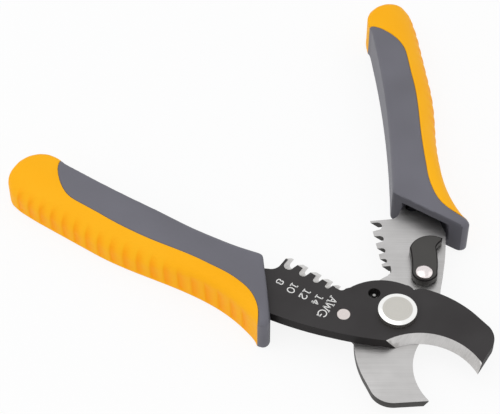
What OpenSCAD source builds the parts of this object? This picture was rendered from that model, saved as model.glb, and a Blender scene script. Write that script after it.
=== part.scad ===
// Wire stripping pliers: two crossed blades on one pivot, with round cutting jaws in front of it,
// four stripping notches behind it, a return spring, a locking latch and two-colour handles.
// Origin on the pivot axis at the resting plane, +Z along the pivot, +X towards the jaws.

/* [Blades] */
// Thickness of the upper, blackened blade
upper_t = 4; // [3:0.1:5]
// Thickness of the lower, bright blade
lower_t = 3; // [2.4:0.1:3.8]
// Running gap between the two blades
blade_gap = 0.05; // [0.03:0.01:0.12]
// Angle that the lower blade swings through from closed to fully open
open_angle = 49.3; // [40:0.1:52]
// Radius of the rounded hub behind the pivot
hub_r = 19.8; // [19:0.1:20.6]
// Distance from the pivot to the end of the tang inside the handle
tang_len = 131; // [110:1:136]
// Width of the tang at its far end
tang_w = 7; // [5:0.5:9]

/* [Jaws] */
// Distance from the pivot to the nose of the jaws
jaw_reach = 35.8; // [34:0.1:37]
// Radius of the hollow cutting edge
mouth_r = 21.3; // [20.6:0.1:21.8]
// Distance from the pivot to the centre of the hollow, along the jaw
mouth_x = 24.2; // [23.4:0.1:24.8]
// Depth of that centre past the closing line
mouth_y = 22.5; // [22:0.1:23]
// Run of the cutting bevel for each millimetre of thickness
bevel_run = 0.5; // [0.3:0.05:0.6]
// Height of the back of the jaw over the closing line
jaw_back = 16.2; // [15.6:0.1:17]
// Radius of the corner between the nose and the back
nose_r = 8.4; // [6:0.1:9]
// How much wider the lower jaw is, on its back and on its cutting edge
jaw_extra = 0.8; // [0:0.1:1]

/* [Stripping notches] */
// Distances from the pivot to the notches
notch_at = [43.5, 37.3, 31.7, 26.8]; // [20:0.1:50]
// Diameters of the closed notches
notch_d = [3.6, 2.9, 2.3, 1.9]; // [1:0.1:4]
// How far the largest tooth passes the closing line
tooth_reach = 2.2; // [1.6:0.1:2.4]
// How much lower each next tooth stands
tip_step = 0.24; // [0:0.01:0.3]
// Fall of a tooth's tip towards the pivot, for each millimetre of width
tip_slope = 0.05; // [0:0.01:0.3]
// Lean of the pivot side of a notch, for each millimetre of height
notch_lean = 0.27; // [0:0.01:0.4]
// Radius of the hollow between the largest tooth and the handle
flank_r = 4; // [3.4:0.1:4.6]

/* [Pivot] */
// Diameter of the shoulder that the blades turn on
shoulder_d = 8; // [6:0.1:9]
// Radial running clearance of the lower blade on the shoulder
shoulder_fit = 0.05; // [0.02:0.01:0.1]
// Diameter of the bolt head
bolt_head_d = 14; // [12:0.1:15]
// Height of the bolt head
bolt_head_h = 2.3; // [1.2:0.1:2.6]
// Width of the bevelled rim of the bolt head
bolt_rim = 1.6; // [0.4:0.1:2]
// Diameter of the thread
thread_d = 6; // [5:0.1:6]
// Width across the flats of the nut
nut_af = 10; // [9:0.5:12]
// Thickness of the washer under the nut
washer_t = 0.9; // [0.6:0.1:1.2]
// Diameter of the washer under the nut
washer_d = 15; // [12:0.5:16]

/* [Spring and stop] */
// Wire diameter of the return spring
wire_d = 1.2; // [0.8:0.1:1.3]
// Mean radius of the spring coil
coil_r = 6; // [5.6:0.1:6.4]
// Place of the upper end of the spring, a hole through the upper blade
anchor_at = [-11.3, 2.8]; // [-14:0.1:4]
// Diameter of that hole
anchor_d = 4.4; // [3:0.1:4.6]
// Place of the stop pin in the upper blade
stop_at = [-15.4, -11.3]; // [-17:0.1:-10]
// Diameter of the stop pin
stop_d = 4.9; // [4:0.1:5.2]

/* [Latch] */
// Place of the latch rivet on the lower blade, when closed
latch_at = [-17.2, 12.8]; // [-18:0.1:14]
// Length of the latch lever from its rivet to the hook
latch_len = 15; // [13:0.1:16]
// Width of the latch lever across its rivet
latch_w = 9.1; // [8:0.1:9.6]
// Thickness of the latch lever
latch_t = 2.8; // [2:0.1:3]
// Thickness of the wave washer under the latch lever
latch_lift = 0.6; // [0.4:0.1:0.8]
// Diameter of the latch rivet's shank
latch_pin_d = 3.2; // [2.6:0.1:3.6]
// Diameter of the latch rivet's head
latch_head_d = 6.2; // [5:0.1:6.6]
// Radial running clearance of the lever on the rivet
latch_fit = 0.05; // [0.03:0.01:0.1]

/* [Handles] */
// Thickness of the handles
handle_t = 16; // [14:0.5:18]
// Distance from the pivot to the end of the handles
tail_d = 156; // [152:1:170]
// Distance from the pivot to the inner front corner of the handles
heel_d = 53; // [52:0.1:55]
// Distance from the pivot to the tip of the flange
flange_d = 33.8; // [32:0.1:36]
// Height that the flare of the flange rises to over the closing line
flange_y = 34.3; // [33:0.1:36]
// Distance from the pivot to the waist behind the flange
waist_d = 62; // [58:0.5:66]
// Height of the outer side at the waist
waist_y = 27.6; // [26:0.1:29]
// Distance from the pivot to the fullest part of the grip
belly_d = 112; // [104:1:120]
// Height of the outer side at the fullest part
belly_y = 32.5; // [31:0.1:34]
// Height of the inner side over the closing line, at the tail
rim_y = 12.8; // [11:0.1:14]
// How far the inner side drops towards the blades at the front
rim_drop = 5.9; // [4:0.1:6.5]
// Distance from the pivot to the tail end of the body's grey panel
panel_d = 143; // [136:0.5:146]
// Width of the body's front lip at the flange
lip_w = 3.2; // [2:0.1:5]
// Thickness of the coloured jacket over the core
jacket_t = 3.2; // [2:0.1:3.6]
// Width of the jacket's top band at the waist
band_w = 6.4; // [5:0.1:7]
// Width of the jacket's top band at the fullest part
belly_band_w = 8.4; // [7:0.1:10]
// Height of the mouth that the blade enters
mouth_h = 8; // [7.8:0.1:9]
// Distance along the front face from its inner corner to the mouth
mouth_start = 4.2; // [3:0.1:5]
// Distance along the front face from its inner corner to the end of the mouth
mouth_end = 23.6; // [22.5:0.1:26]
// Depth of that mouth
mouth_depth = 8.5; // [6:0.5:10]

/* [Grip ribs] */
// Number of grooves across the outer side
groove_n = 20; // [8:1:20]
// Distance between the grooves
groove_pitch = 5; // [4:0.1:5]
// Depth of a groove
groove_depth = 0.6; // [0.3:0.1:0.9]
// Width of a groove
groove_w = 3.2; // [2:0.1:3.4]

/* [Hidden] */
$fn = 64;
black = [0.16, 0.16, 0.17];
steel = [0.75, 0.75, 0.74];
grey = [0.42, 0.42, 0.45];
amber = [1, 0.66, 0.08];

cut = 30;
shear_z = handle_t / 2;
slide_gap = 0.1;
recess_t = 2 * wire_d + 0.3;

// Turns a point about the pivot
function turned(p, a) = [p.x * cos(a) - p.y * sin(a), p.x * sin(a) + p.y * cos(a)];

// Points of an arc from p towards q, which bulges to the left by the share k of its chord
function bow(p, q, k, n = 12) =
    let (
        chord = norm(q - p),
        along = (q - p) / chord,
        left = [-along.y, along.x],
        r = chord * (1 / 4 + k * k) / (2 * abs(k)),
        half = asin(chord / 2 / r),
        mid = (p + q) / 2 + left * (k * chord - sign(k) * r)
    )
    [for (i = [0 : n - 1])
        let (a = half * (2 * i / n - 1))
        mid + r * (sin(a) * along + sign(k) * cos(a) * left)];

// Points of an arc about c from angle a0 to angle a1
function arc(c, r, a0, a1, n = 12) =
    [for (i = [0 : n]) let (a = a0 + (a1 - a0) * i / n) c + r * [cos(a), sin(a)]];

/* Outline of a blade, tang on the -Y side and jaw on the +Y side, as it lies closed */
hub_c = [-1.5, 12.5 - hub_r];
catch = [-0.4, 12.1];
teeth_start = notch_at[3] - notch_d[3] / 2 - 1.55;
teeth_end = notch_at[0] + notch_d[0] / 2 + 1;
blank_y = tooth_reach + 0.6;
flank_c = [-teeth_end - flank_r, -5.5];
edge_mid = [-15.4, -20.3];
edge_end = [6.4, -10.9];
mouth_in = [-37.3, -25.7];
hollow_y = -2.95;
hollow_run = 1.7;

// Outline of the head, with its back at this height
function head_points(back) =
    let (
        nose_c = [jaw_reach - 0.5 - nose_r, back - 2.6 - nose_r],
        catch_top = [1.6, back - 1.9]
    )
    concat(
        [[jaw_reach, -5.2]],
        arc(nose_c, nose_r, 4, 68),
        bow([nose_c.x - 1.4, back - 1.9], catch_top, -0.08),
        [catch_top],
        bow(catch, [-3.8, 12.55], -0.1, 4),
        arc(hub_c, hub_r, 97, 158, 16),
        bow([-20.9, -1.1], [-teeth_start + hollow_run, hollow_y], 0.2, 5),
        [[-teeth_start + hollow_run, hollow_y], [-teeth_start, hollow_y]]
    );
tooth_points = [[-teeth_start, blank_y], [-teeth_end, blank_y]];
tang_points = concat(
    arc(flank_c, flank_r, 0, -70, 10),
    bow([-52.5, -11.2], [-tang_len + tang_w / 2, -rim_y - 4.4], 0.02),
    arc([-tang_len + tang_w / 2, -rim_y - 4.4 - tang_w / 2], tang_w / 2, 90, 270),
    bow([-tang_len + tang_w / 2 + 1, -rim_y - 4.4 - tang_w], [-60, -waist_y + 4.6], -0.012),
    bow([-60, -waist_y + 4.6], mouth_in, 0.026, 6)
);
function blade_points(back) = concat(
    head_points(back), tooth_points, tang_points,
    bow(mouth_in, edge_mid, -0.022, 6), bow(edge_mid, edge_end, -0.025, 6), [edge_end]
);
tang_hole_at = [-51.6, -14.4];
tang_hole_r = 2.2;
tang_pin_at = [[-74, -18.6], [-108, -20.4]];
tang_pin_r = 2;

// Cuts the toothed edge as a grinder does, at 45 degrees through the thickness
module tooth_grinder() {
    run = cos(45);
    over = 9;
    edges = concat([teeth_end + 2], notch_at, [teeth_start - 2]);
    rotate([45, 0, 0])
        translate([0, 0, -cut])
            linear_extrude(2 * cut)
                union() {
                    for (i = [0 : 3])
                        polygon(concat(
                            [
                                [-notch_at[i] + notch_d[i] / 2 + notch_lean * over, over * run],
                                [-notch_at[i] - notch_d[i] / 2, over * run]
                            ],
                            [for (p = arc([-notch_at[i], 0], notch_d[i] / 2, 180, 360)) [p.x, p.y * run]]
                        ));
                    for (i = [0 : 4]) {
                        corner = i < 4 ? notch_at[i] + notch_d[i] / 2 : teeth_start;
                        tip = tooth_reach - tip_step * i;
                        high = (tip + tip_slope * (edges[i] - corner)) * run;
                        low = (tip - tip_slope * (corner - edges[i + 1])) * run;
                        polygon([
                            [-edges[i], high], [-edges[i + 1], low],
                            [-edges[i + 1], over * run], [-edges[i], over * run]
                        ]);
                    }
                }
}

// A blade with its shear face at z = 0 and its thickness above it, and a jaw that is wider by extra
module ground_blade(t, extra = 0) {
    difference() {
        linear_extrude(t)
            polygon(blade_points(jaw_back + extra));
        translate([mouth_x, -mouth_y - extra, -1])
            cylinder(h = t + 2, r1 = mouth_r - bevel_run, r2 = mouth_r + bevel_run * (t + 1), $fn = 128);
        intersection() {
            tooth_grinder();
            translate([-teeth_end - 2, -12, -1])
                cube([teeth_end - teeth_start + 2, 30, t + 2]);
        }
        translate([tang_hole_at.x, tang_hole_at.y, -1])
            cylinder(h = t + 2, r = tang_hole_r);
        for (p = tang_pin_at)
            translate([p.x, p.y, -1])
                cylinder(h = t + 2, r = tang_pin_r);
    }
}

module upper_blade() {
    color(black)
        translate([0, 0, shear_z])
            difference() {
                ground_blade(upper_t);
                translate([0, 0, -1])
                    cylinder(h = upper_t + 2, d = shoulder_d);
                translate([0, 0, -1])
                    cylinder(h = recess_t + 1, r = coil_r + wire_d / 2 + 0.4);
                translate([anchor_at.x, anchor_at.y, -1])
                    cylinder(h = upper_t + 2, d = anchor_d);
                rotate([0, 0, atan2(anchor_at.y, anchor_at.x)])
                    translate([0, -wire_d / 2 - 0.2, -1])
                        cube([norm(anchor_at), wire_d + 0.4, wire_d + 1.2]);
                translate([stop_at.x, stop_at.y, -1])
                    cylinder(h = upper_t + 2, d = stop_d);
            }
}

stop_open = turned(stop_at, open_angle);
lower_leg_at = turned([-coil_r, 0], -60);

// Shoulder on the heel of the lower blade that meets the stop pin when fully open
module stop_shoulder(t) {
    wall = stop_open.x + stop_d / 2 + 0.05;
    linear_extrude(t)
        polygon([[wall, 10], [wall, -stop_open.y - 0.4], [wall + 1.6, -stop_open.y - 0.4], [9, 15.6], [9, 10]]);
}

module lower_blade() {
    color(steel)
        rotate([0, 0, -open_angle])
            translate([0, 0, shear_z - blade_gap])
                rotate([180, 0, 0])
                    difference() {
                        union() {
                            ground_blade(lower_t, jaw_extra);
                            stop_shoulder(lower_t);
                        }
                        translate([0, 0, -1])
                            cylinder(h = lower_t + 2, r = shoulder_d / 2 + shoulder_fit);
                        translate([lower_leg_at.x, -lower_leg_at.y, -1])
                            cylinder(h = lower_t + 2, r = wire_d / 2 + 0.3);
                        translate([latch_at.x, -latch_at.y, -1])
                            cylinder(h = lower_t + 2, d = latch_pin_d);
                    }
}

/* Pivot, from the head down: shoulder in both blades, washer and nut on the thread */
shoulder_end = shear_z - blade_gap - lower_t - slide_gap;
bolt_rim_h = 0.3;
module pivot_bolt() {
    head_z = shear_z + upper_t;
    color(steel)
        rotate_extrude($fn = 96)
            polygon([
                [0, 0], [thread_d / 2 - 0.5, 0], [thread_d / 2, 0.5], [thread_d / 2, shoulder_end],
                [shoulder_d / 2, shoulder_end], [shoulder_d / 2, head_z], [bolt_head_d / 2, head_z],
                [bolt_head_d / 2, head_z + bolt_head_h - bolt_rim_h],
                [bolt_head_d / 2 - bolt_rim, head_z + bolt_head_h], [0, head_z + bolt_head_h]
            ]);
}

module pivot_washer() {
    color(steel)
        translate([0, 0, shoulder_end - washer_t])
            difference() {
                cylinder(h = washer_t, d = washer_d);
                translate([0, 0, -1])
                    cylinder(h = washer_t + 2, d = thread_d);
            }
}

module pivot_nut() {
    nut_h = shoulder_end - washer_t;
    color(steel)
        difference() {
            intersection() {
                cylinder(h = nut_h, d = nut_af / cos(30), $fn = 6);
                cylinder(h = nut_h, r1 = nut_af / 2, r2 = nut_af / 2 + nut_h * 1.7);
                cylinder(h = nut_h, r2 = nut_af / 2, r1 = nut_af / 2 + nut_h * 1.7);
            }
            translate([0, 0, -1])
                cylinder(h = nut_h + 2, d = thread_d);
        }
}

// Sleeve inside the spring, which keeps the coil centred on the shoulder
module spring_collar() {
    color(steel)
        translate([0, 0, shear_z])
            difference() {
                cylinder(h = recess_t, r = coil_r - wire_d / 2 - 0.3);
                translate([0, 0, -1])
                    cylinder(h = recess_t + 2, d = shoulder_d);
            }
}

// Torsion spring: two close turns of wire. The upper end runs out along the upper blade and turns up
// into its hole, and the lower end turns straight down from the coil into the lower blade.
module return_spring() {
    z0 = shear_z + wire_d / 2 + 0.1;
    leg_r = wire_d / 2 * 0.92;
    upper_reach = norm(anchor_at);
    lower_leg_z = shear_z - lower_t * 0.7;
    lower_leg = turned(lower_leg_at, -open_angle);
    color(steel)
        union() {
            for (i = [0 : 1])
                translate([0, 0, z0 + i * wire_d * 0.9])
                    rotate_extrude()
                        translate([coil_r, 0])
                            circle(d = wire_d, $fn = 24);
            rotate([0, 0, atan2(anchor_at.y, anchor_at.x)]) {
                translate([coil_r, 0, z0])
                    rotate([0, 90, 0])
                        cylinder(h = upper_reach - coil_r, r = leg_r, $fn = 24);
                translate([upper_reach, 0, z0])
                    sphere(r = wire_d / 2, $fn = 24);
                translate([upper_reach, 0, z0])
                    cylinder(h = upper_t * 0.55, r = leg_r, $fn = 24);
            }
            translate([lower_leg.x, lower_leg.y, lower_leg_z])
                cylinder(h = z0 - lower_leg_z, r = leg_r, $fn = 24);
        }
}

module stop_pin() {
    color(steel)
        translate([stop_at.x, stop_at.y, shear_z - blade_gap - lower_t + 0.2])
            cylinder(h = upper_t + lower_t + blade_gap - 0.2, d = stop_d);
}

/* Latch, on the lower blade; its outline is drawn round the rivet */
latch_front = [0.31, 0.33] * latch_w;
latch_top = [0, 0.53] * latch_w;
latch_neck = [-0.74 * latch_len, 0.7 * latch_w];
latch_hook = [[-0.93 * latch_len, 1.08 * latch_w], [-latch_len, 1.03 * latch_w]];
latch_heel = [-0.81 * latch_len, -0.33 * latch_w];
latch_foot = [-0.08, -0.47] * latch_w;
latch_nose = [0.37, -0.15] * latch_w;
latch_points = concat(
    bow(latch_front, latch_top, -0.15, 4),
    bow(latch_top, latch_neck, -0.03, 4),
    bow(latch_neck, latch_hook[0], 0.11, 4),
    bow(latch_hook[1], latch_heel, -0.24, 12),
    bow(latch_heel, latch_foot, 0.03, 4),
    bow(latch_foot, latch_nose, -0.16, 6),
    bow(latch_nose, latch_front, -0.14, 4)
);
latch_z = shear_z - blade_gap + latch_lift;

module on_lower_blade() {
    rotate([0, 0, -open_angle])
        children();
}

module latch_lever() {
    color(black)
        on_lower_blade()
            translate([latch_at.x, latch_at.y, latch_z])
                difference() {
                    linear_extrude(latch_t)
                        polygon([for (i = [len(latch_points) - 1 : -1 : 0]) latch_points[i]]);
                    translate([0, 0, -1])
                        cylinder(h = latch_t + 2, r = latch_pin_d / 2 + latch_fit);
                }
}

module latch_rivet() {
    foot_z = shear_z - blade_gap - lower_t - latch_lift;
    head_z = latch_z + latch_t + 0.05;
    color(steel)
        on_lower_blade()
            translate([latch_at.x, latch_at.y, 0]) {
                translate([0, 0, foot_z])
                    cylinder(h = head_z - foot_z, d = latch_pin_d);
                translate([0, 0, foot_z - 0.8])
                    cylinder(h = 0.8, d1 = latch_head_d - 1, d2 = latch_head_d);
                translate([0, 0, head_z])
                    rotate_extrude()
                        polygon(concat(
                            [[0, 0], [latch_head_d / 2, 0]],
                            [for (a = [0 : 10 : 90]) [latch_head_d / 2 * cos(a), 0.4 + 1.2 * sin(a)]]
                        ));
            }
}

module latch_ring(z, d) {
    color(steel)
        on_lower_blade()
            translate([latch_at.x, latch_at.y, z])
                difference() {
                    cylinder(h = latch_lift, d = d);
                    translate([0, 0, -1])
                        cylinder(h = latch_lift + 2, d = latch_pin_d);
                }
}

module latch_wave_washer() latch_ring(shear_z - blade_gap, latch_head_d + 1);

module latch_back_washer() latch_ring(shear_z - blade_gap - lower_t - latch_lift, latch_head_d + 2);

/* Handles, drawn for the +Y side with the mid plane at z = 0; d is the distance behind the pivot */
join_d = 96;
drop_run = 76.5;
curl_run = 17;
tip_r = 2.1;
tip_drop = 3.3;
lip_r = 1.2;
lip_end_d = 46;
crisp_r = 1;
heel_r = 3;
edge_r = 4.6;
crown_w = 12;
crown_h = 9.5;
tail_r = 7.5;

function inner_y(d) = rim_y - rim_drop * pow(max(0, 1 - (d - heel_d) / drop_run), 2);
function flare_y(d) = waist_y + (flange_y - waist_y) * pow((waist_d - d) / (waist_d - flange_d), 2);
function tip_y(d) = flange_y - tip_drop + sqrt(max(0, tip_r * tip_r - pow(max(0, flange_d + tip_r - d), 2)));
function share(d, d0, d1) = min(1, max(0, (d - d0) / (d1 - d0)));
function outer_y(d) =
    d < waist_d ? min(flare_y(d), tip_y(d))
    : waist_y + (belly_y - waist_y) * (1 - cos(180 * share(d, waist_d, belly_d))) / 2;
function band(d) = band_w + (belly_band_w - band_w) * pow(share(d, waist_d, belly_d), 2);
panel_curl = belly_y - belly_band_w - rim_y + 0.7;
function seam_y(d) =
    outer_y(d) - band(d) - panel_curl * pow(max(0, 1 - (panel_d - d) / curl_run), 2);

// Inner end of the cross-section whose outer end lies at distance b
function inner_d(b) = b > join_d ? b : heel_d + (b - flange_d) * (join_d - heel_d) / (join_d - flange_d);

// One cross-section: [outer distance, shrink in width, shrink in thickness, groove depth]. Its upper outer
// edge is a quarter ellipse that grows from the waist to the grip, and the other edges are crisp.
function section(st) =
    let (
        a = [-inner_d(st[0]), inner_y(inner_d(st[0]))],
        b = [-st[0], outer_y(st[0])],
        w = norm(b - a),
        across = (b - a) / w,
        h = handle_t / 2 - st[2],
        full = share(st[0], waist_d, waist_d + 32),
        ri = crisp_r + (heel_r - crisp_r) * share(join_d - 2 - st[0], 0, 10),
        end = w - st[1],
        low = -h + crisp_r,
        ow = min(edge_r + (crown_w - edge_r) * full, end - st[1] - ri - 0.6),
        oh = min(edge_r + (crown_h - edge_r) * full, 2 * h - crisp_r - 2),
        flat = concat(
            [for (t = [90, 68, 45, 22, 0]) [end - ow + ow * cos(t), h - oh + oh * sin(t)]],
            [[end - st[3], h - oh - 0.6], [end - st[3], low + 0.6], [end, low]],
            [[end - crisp_r, -h], [st[1] + crisp_r, -h], [st[1], low]],
            [for (t = [180, 150, 120, 90]) [st[1] + ri + ri * cos(t), h - ri + ri * sin(t)]]
        )
    )
    [for (p = flat) let (q = a + across * p.x) [q.x, q.y, p.y]];

front_stations = [
    for (a = [0 : 30 : 90])
        [flange_d + lip_r * (1 - cos(a)), lip_r * (1 - sin(a)), lip_r * (1 - sin(a)), 0]
];
flare_stations = [for (d = [36, 38, 41, 44]) [d, 0, 0, 0]];
tail_stations = [
    for (a = [0 : 15 : 90])
        [tail_d - tail_r + tail_r * sin(a), tail_r * (1 - cos(a)), 0.3 * tail_r * (1 - cos(a)), 0]
];
groove_first = tail_d - tail_r - 3 - groove_pitch * (groove_n - 1);
groove_stations = [
    for (i = [0 : groove_n - 1], s = [[-0.5, 0], [-0.2, 1], [0.2, 1], [0.5, 0]])
        [groove_first + i * groove_pitch + s[0] * groove_w, 0, 0, s[1] * groove_depth]
];
plain_stations = [for (i = [0 : 16]) [48 + i * 6, 0, 0, 0]];

module handle_skin(middle) {
    rings = [for (st = concat(front_stations, flare_stations, middle, tail_stations)) section(st)];
    n = len(rings[0]);
    last = len(rings) - 1;
    polyhedron(
        points = [for (r = rings, p = r) p],
        faces = concat(
            [[for (j = [0 : n - 1]) j], [for (j = [n - 1 : -1 : 0]) last * n + j]],
            [for (i = [0 : last - 1], j = [0 : n - 1]) [i * n + j, (i + 1) * n + j, (i + 1) * n + (j + 1) % n]],
            [for (i = [0 : last - 1], j = [0 : n - 1]) [i * n + j, (i + 1) * n + (j + 1) % n, i * n + (j + 1) % n]]
        ),
        convexity = 6
    );
}

// Plan of the grey body: the inner side of the handle and the lip round its mouth
module body_plan() {
    lip_end = [-lip_end_d + 0.6, seam_y(lip_end_d) + 0.3];
    polygon(concat(
        [[-panel_d - 0.6, 0]],
        [for (i = [0 : 24]) let (d = panel_d - i * (panel_d - lip_end_d) / 24) [-d, seam_y(d)]],
        bow(lip_end, [-flange_d - lip_w, flange_y + 0.6], -0.076, 8),
        [[-flange_d - lip_w, flange_y + 9], [-flange_d + 5, flange_y + 9], [-flange_d + 5, 0]]
    ));
}

// Core of the body that the jacket is moulded over; it covers the whole tang
module core() {
    h = handle_t / 2 - jacket_t;
    front = lip_end_d - 3;
    back = tail_d - 10;
    translate([0, 0, -h])
        linear_extrude(2 * h)
            polygon(concat(
                [for (i = [0 : 16]) let (d = front + i * (back - front) / 16) [-d, outer_y(d) - jacket_t]],
                [[-tail_d + tail_r, belly_y - tail_r], [-tail_d + tail_r, rim_y + tail_r - 2]],
                [[-tail_d + 18, rim_y + jacket_t], [-heel_d - 6.5, inner_y(heel_d) + 7.9]],
                [[-front - 2, inner_y(heel_d) + 12.9]]
            ));
}

// The slot that the tang fills, from z0 up, and the open mouth in front of it, which narrows inwards
// as the tang does
module tang_room(z0, t) {
    corner = [-heel_d, inner_y(heel_d)];
    along = ([-flange_d, flange_y - 2] - corner) / norm([-flange_d, flange_y - 2] - corner);
    back = [-along.y, along.x];
    front = 4;
    deep_end = mouth_end - 0.85 * mouth_depth;
    translate([0, 0, z0])
        linear_extrude(t)
            difference() {
                polygon([for (p = concat(tang_points, [mouth_in, [-30, -24], [-45, -2]])) [p.x, -p.y]]);
                translate([tang_hole_at.x, -tang_hole_at.y])
                    circle(r = tang_hole_r);
            }
    translate([0, 0, -mouth_h / 2])
        linear_extrude(mouth_h)
            polygon([
                corner + mouth_start * along - front * back, corner + mouth_end * along - front * back,
                corner + mouth_end * along, corner + deep_end * along + mouth_depth * back,
                corner + mouth_start * along + mouth_depth * back
            ]);
}

module tang_pin_set() {
    for (p = tang_pin_at)
        translate([p.x, -p.y, -tang_pin_r * 2.5])
            cylinder(h = tang_pin_r * 5, r = tang_pin_r);
}

module handle_body(z0, t) {
    color(grey)
        difference() {
            union() {
                intersection() {
                    handle_skin(plain_stations);
                    translate([0, 0, -handle_t])
                        linear_extrude(2 * handle_t)
                            body_plan();
                }
                core();
            }
            tang_room(z0, t);
            tang_pin_set();
        }
}

module grip_jacket() {
    color(amber)
        difference() {
            handle_skin(groove_stations);
            translate([0, 0, -handle_t])
                linear_extrude(2 * handle_t)
                    body_plan();
            core();
        }
}

module left_side() {
    translate([0, 0, shear_z])
        mirror([0, 1, 0])
            children();
}

module right_side() {
    on_lower_blade()
        translate([0, 0, shear_z])
            children();
}

module left_handle_body() left_side() handle_body(0, upper_t);
module left_grip_jacket() left_side() grip_jacket();
module left_tang_pins() color(steel) left_side() tang_pin_set();
module right_handle_body() right_side() handle_body(-lower_t - blade_gap, lower_t);
module right_grip_jacket() right_side() grip_jacket();
module right_tang_pins() color(steel) right_side() tang_pin_set();

upper_blade();
lower_blade();
pivot_bolt();
pivot_washer();
pivot_nut();
spring_collar();
return_spring();
stop_pin();
latch_lever();
latch_rivet();
latch_wave_washer();
latch_back_washer();
left_handle_body();
left_grip_jacket();
left_tang_pins();
right_handle_body();
right_grip_jacket();
right_tang_pins();
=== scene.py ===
# %% [markdown]
# # Wire stripping pliers
# The tool has two crossed blades on one pivot: a blackened one above and a bright one below. Each blade has
# a round cutting jaw in front of the pivot, four stripping notches behind it, and a two-colour handle.
# The CAD model is loaded first, as a frame that never moves. Each new piece is made in the same place, in
# metres, and then rides on the body that carries it: the fixed half, the moving half or the latch.

# %% Load the frame
import math

import bmesh
import bpy
import numpy as np
from mathutils import Matrix, Vector


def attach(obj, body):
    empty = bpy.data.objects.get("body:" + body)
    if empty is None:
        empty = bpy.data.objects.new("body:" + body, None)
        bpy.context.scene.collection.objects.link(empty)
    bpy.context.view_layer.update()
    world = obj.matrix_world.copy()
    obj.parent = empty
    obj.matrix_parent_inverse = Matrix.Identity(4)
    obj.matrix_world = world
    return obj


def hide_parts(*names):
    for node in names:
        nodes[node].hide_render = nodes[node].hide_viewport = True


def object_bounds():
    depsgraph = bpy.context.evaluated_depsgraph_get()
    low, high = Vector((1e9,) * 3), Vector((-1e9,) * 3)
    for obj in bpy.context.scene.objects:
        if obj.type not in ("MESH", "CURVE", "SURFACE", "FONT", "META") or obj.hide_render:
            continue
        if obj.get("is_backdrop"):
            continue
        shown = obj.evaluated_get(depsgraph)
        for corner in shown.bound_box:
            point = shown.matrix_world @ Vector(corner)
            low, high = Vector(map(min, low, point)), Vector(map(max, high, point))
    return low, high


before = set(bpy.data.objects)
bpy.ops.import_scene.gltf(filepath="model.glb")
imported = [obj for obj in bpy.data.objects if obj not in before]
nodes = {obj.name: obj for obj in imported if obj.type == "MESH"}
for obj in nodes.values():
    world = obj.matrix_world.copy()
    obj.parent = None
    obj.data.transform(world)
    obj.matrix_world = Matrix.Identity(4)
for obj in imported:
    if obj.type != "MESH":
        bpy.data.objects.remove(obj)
cad_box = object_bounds()

# %% [markdown]
# Everything below is written in millimetres and degrees, as on a drawing, and turned into metres in one
# place. The numbers that the handles and blades share come from the drawing: the pivot is at x = y = 0, the
# blades meet at z = 8, and their top faces lie at 12 and 7.95. A handle reaches 8 mm up and down from its
# middle plane, and the movable half is open by 49.3 degrees in the photo's pose.

# %% Shared sizes
MM = 0.001
MID_Z = 8.0
UPPER_TOP = 12.0
LOWER_TOP = 7.95
HALF_T = 8.0
OPEN = math.radians(49.3)


def deselect():
    """Nothing is selected any more; the loaded nodes start out selected."""
    if bpy.context.object and bpy.context.object.mode != "OBJECT":
        bpy.ops.object.mode_set(mode="OBJECT")
    bpy.ops.object.select_all(action="DESELECT")


def pick(piece):
    """Only this piece is selected, and it is the active one."""
    deselect()
    piece.select_set(True)
    bpy.context.view_layer.objects.active = piece


def smooth(piece, degrees):
    """Smooth shading, apart from edges sharper than the angle."""
    pick(piece)
    bpy.ops.object.shade_smooth_by_angle(angle=math.radians(degrees))


def hang(piece, body, slot, *replaced):
    """The finished piece rides on its body and stands for its CAD nodes; its slot is not used."""
    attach(piece, body)
    if replaced:
        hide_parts(*replaced)
    print(piece.name, "rides on", body, "with", len(piece.data.polygons), "faces")


print("Open by", round(math.degrees(OPEN), 1), "degrees")

# %% [markdown]
# ## Materials
# Each material is one Principled shader with a few texture nodes in front of it. Colours are written as
# sRGB hex values, the way they are read off a picture, and Blender wants linear light, so one function
# converts them. One more function adds any node with its settings and links.

# %% Colour and node helpers
def linear(code):
    """An sRGB hex colour as linear RGBA."""
    parts = [int(code[i:i + 2], 16) / 255 for i in (1, 3, 5)]
    return [c / 12.92 if c <= 0.04045 else ((c + 0.055) / 1.055) ** 2.4 for c in parts] + [1.0]


def add_node(tree, kind, settings=(), values=(), links=()):
    """Adds a node, then sets its properties, its input values and its input links."""
    node = tree.nodes.new(kind)
    for key, value in dict(settings).items():
        setattr(node, key, value)
    for key, value in dict(values).items():
        node.inputs[key].default_value = value
    for key, output in dict(links).items():
        tree.links.new(output, node.inputs[key])
    return node


def new_material(name, roughness, metallic=0.0):
    """A material with its tree, its shader and its Object coordinates."""
    made = bpy.data.materials.new(name)
    made.use_nodes = True
    tree = made.node_tree
    shader = tree.nodes["Principled BSDF"]
    shader.inputs["Roughness"].default_value = roughness
    shader.inputs["Metallic"].default_value = metallic
    place = add_node(tree, "ShaderNodeTexCoord")
    return made, tree, shader, place.outputs["Object"]


def ramp(tree, source, low, high):
    """Turns a noise, which seldom leaves 0.3 to 0.7, into a colour between two hex values."""
    node = add_node(tree, "ShaderNodeValToRGB", links={"Fac": source})
    for stop, position, code in zip(node.color_ramp.elements, (0.3, 0.7), (low, high)):
        stop.position = position
        stop.color = linear(code)
    return node.outputs["Color"]


def spread(tree, source, low, high):
    """Turns a pattern from 0 to 1 into a range of plain numbers."""
    node = add_node(tree, "ShaderNodeMapRange", values={"To Min": low, "To Max": high},
                    links={"Value": source})
    return node.outputs["Result"]


def relief(tree, shader, height, depth_mm):
    """Bump from a pattern, with its depth in millimetres."""
    node = add_node(tree, "ShaderNodeBump", values={"Distance": depth_mm * MM, "Strength": 1.0},
                    links={"Height": height})
    tree.links.new(node.outputs["Normal"], shader.inputs["Normal"])


print("Linear mid grey:", round(linear("#808080")[0], 3))
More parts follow.
